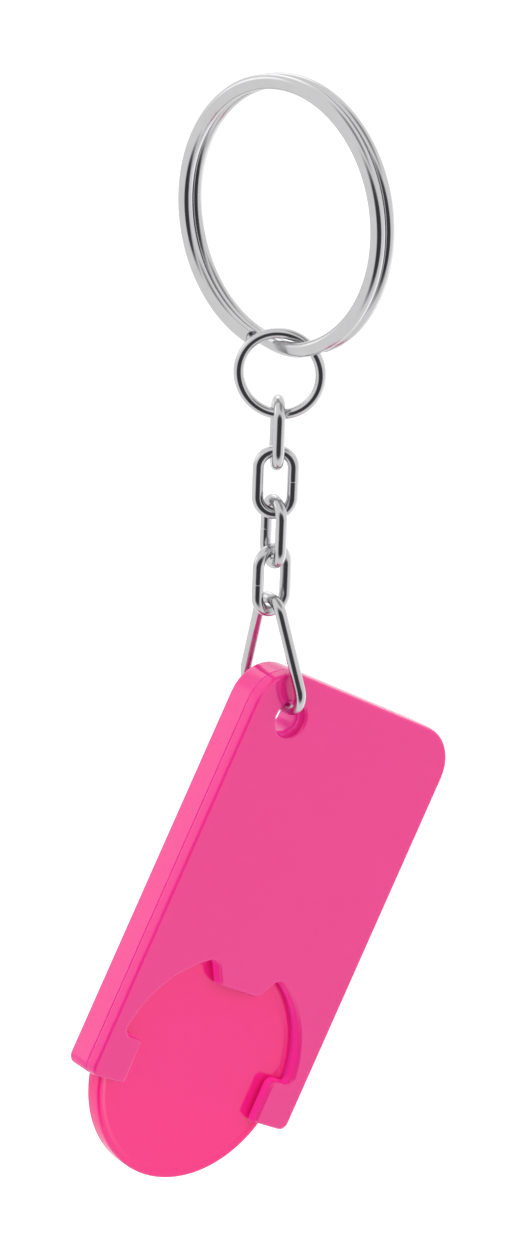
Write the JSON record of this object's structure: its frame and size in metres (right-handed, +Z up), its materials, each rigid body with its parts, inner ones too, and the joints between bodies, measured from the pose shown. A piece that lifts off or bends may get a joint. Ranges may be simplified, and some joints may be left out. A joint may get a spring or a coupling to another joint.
{
  "type": "trolley coin keyring",
  "caption": "Keyring with a split ring, a short chain, a wire bail and a flat two-part plastic holder from whose open end a trolley coin slides out.",
  "frame": {"origin": "the inside of the split ring's top, where a hook or a finger carries the keyring", "axes": "+Z up along the hanging chain, -Y out of the holder's front face, +X to the right as the front face is seen"},
  "size_m": [0.042, 0.0254, 0.107],
  "materials": {
    "ring_nickel": "bright polished nickel plate on a flat steel wire",
    "chain_nickel": "bright polished nickel plate on round steel wire",
    "holder_plastic": "glossy moulded pink plastic",
    "coin_plastic": "glossy moulded pink plastic, a little brighter than the holder"
  },
  "bodies": {
    "split_ring": {"split_ring": "ring_nickel"},
    "jump_ring": {"jump_ring": "chain_nickel"},
    "chain_link_1": {"chain_link_1": "chain_nickel"},
    "chain_link_2": {"chain_link_2": "chain_nickel"},
    "chain_link_3": {"chain_link_3": "chain_nickel"},
    "chain_link_4": {"chain_link_4": "chain_nickel"},
    "bail": {"bail": "chain_nickel"},
    "holder": {"holder_back": "holder_plastic", "holder_front": "holder_plastic"},
    "trolley_coin": {"trolley_coin": "coin_plastic"}
  },
  "joints": [
    {"name": "jump_ring_swing", "type": "hinge", "parent": "split_ring", "child": "jump_ring", "pos_m": [0.00003, -0.00025, -0.02377], "axis": [0.1392, -0.9903, 0], "range_deg": [-45, 45]},
    {"name": "chain_link_1_swing", "type": "hinge", "parent": "jump_ring", "child": "chain_link_1", "pos_m": [0.00003, -0.00025, -0.0302], "axis": [0.6691, -0.7431, 0], "range_deg": [-50, 50]},
    {"name": "chain_link_2_swing", "type": "hinge", "parent": "chain_link_1", "child": "chain_link_2", "pos_m": [0.00003, -0.00025, -0.03505], "axis": [0.5299, 0.848, 0], "range_deg": [-50, 50]},
    {"name": "chain_link_3_swing", "type": "hinge", "parent": "chain_link_2", "child": "chain_link_3", "pos_m": [0.00003, -0.00025, -0.03985], "axis": [0.809, -0.5878, 0], "range_deg": [-35, 35]},
    {"name": "chain_link_4_swing", "type": "hinge", "parent": "chain_link_3", "child": "chain_link_4", "pos_m": [0.00003, -0.00025, -0.04465], "axis": [-0.2079, -0.9781, 0], "range_deg": [-50, 50]},
    {"name": "bail_swing", "type": "hinge", "parent": "chain_link_4", "child": "bail", "pos_m": [0.00003, -0.00025, -0.04945], "axis": [1, 0, 0], "range_deg": [-50, 50]},
    {"name": "holder_swing", "type": "hinge", "parent": "bail", "child": "holder", "pos_m": [0.00085, -0.00105, -0.05871], "axis": [0, 1, 0], "range_deg": [-65, 65]},
    {"name": "coin_slide", "type": "slide", "parent": "holder", "child": "trolley_coin", "axis": [-0.4695, 0, -0.8829], "range_m": [0, 0.018]}
  ]
}
